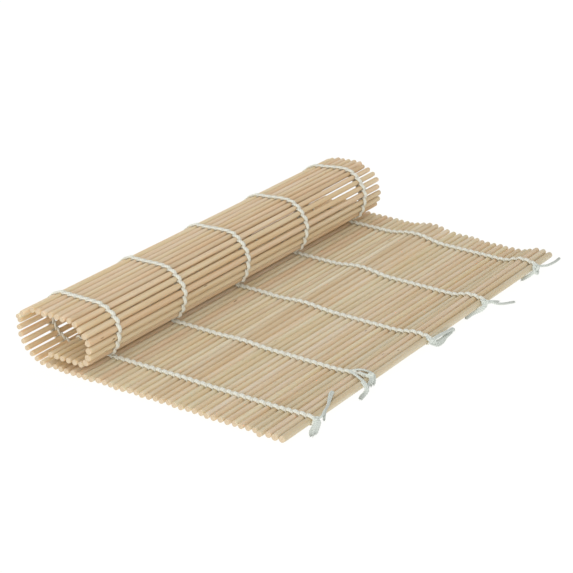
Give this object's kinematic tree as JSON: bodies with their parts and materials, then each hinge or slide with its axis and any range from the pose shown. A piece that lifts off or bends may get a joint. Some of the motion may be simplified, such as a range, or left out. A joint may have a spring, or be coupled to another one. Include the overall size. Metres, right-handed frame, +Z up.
{
  "type": "sushi rolling mat",
  "caption": "Bamboo sushi rolling mat of thin round sticks joined by twined cotton cords, lying with one end rolled over.",
  "frame": {"origin": "on the table, under the middle cord, near the mat's centre of mass", "axes": "+X across the sticks, from the roll towards the knotted edge; +Y along the sticks; +Z up"},
  "size_m": [0.1527, 0.2515, 0.031],
  "materials": {
    "bamboo": "bare pale bamboo, satin",
    "cotton": "undyed twined cotton string, matte"
  },
  "bodies": {
    "root": {"flat_sticks": "bamboo", "stick_38": "bamboo", "stick_39": "bamboo", "stick_40": "bamboo", "stick_41": "bamboo", "stick_42": "bamboo", "stick_43": "bamboo", "stick_44": "bamboo", "stick_45": "bamboo", "stick_46": "bamboo", "stick_47": "bamboo", "stick_48": "bamboo", "stick_49": "bamboo", "stick_50": "bamboo", "stick_51": "bamboo", "stick_52": "bamboo", "stick_53": "bamboo", "stick_54": "bamboo", "stick_55": "bamboo", "stick_56": "bamboo", "stick_57": "bamboo", "stick_58": "bamboo", "stick_59": "bamboo", "stick_60": "bamboo", "stick_61": "bamboo", "stick_62": "bamboo", "stick_63": "bamboo", "stick_64": "bamboo", "stick_65": "bamboo", "stick_66": "bamboo", "stick_67": "bamboo", "cord_1": "cotton", "cord_2": "cotton", "cord_3": "cotton", "cord_4": "cotton", "cord_5": "cotton"}
  },
  "joints": []
}
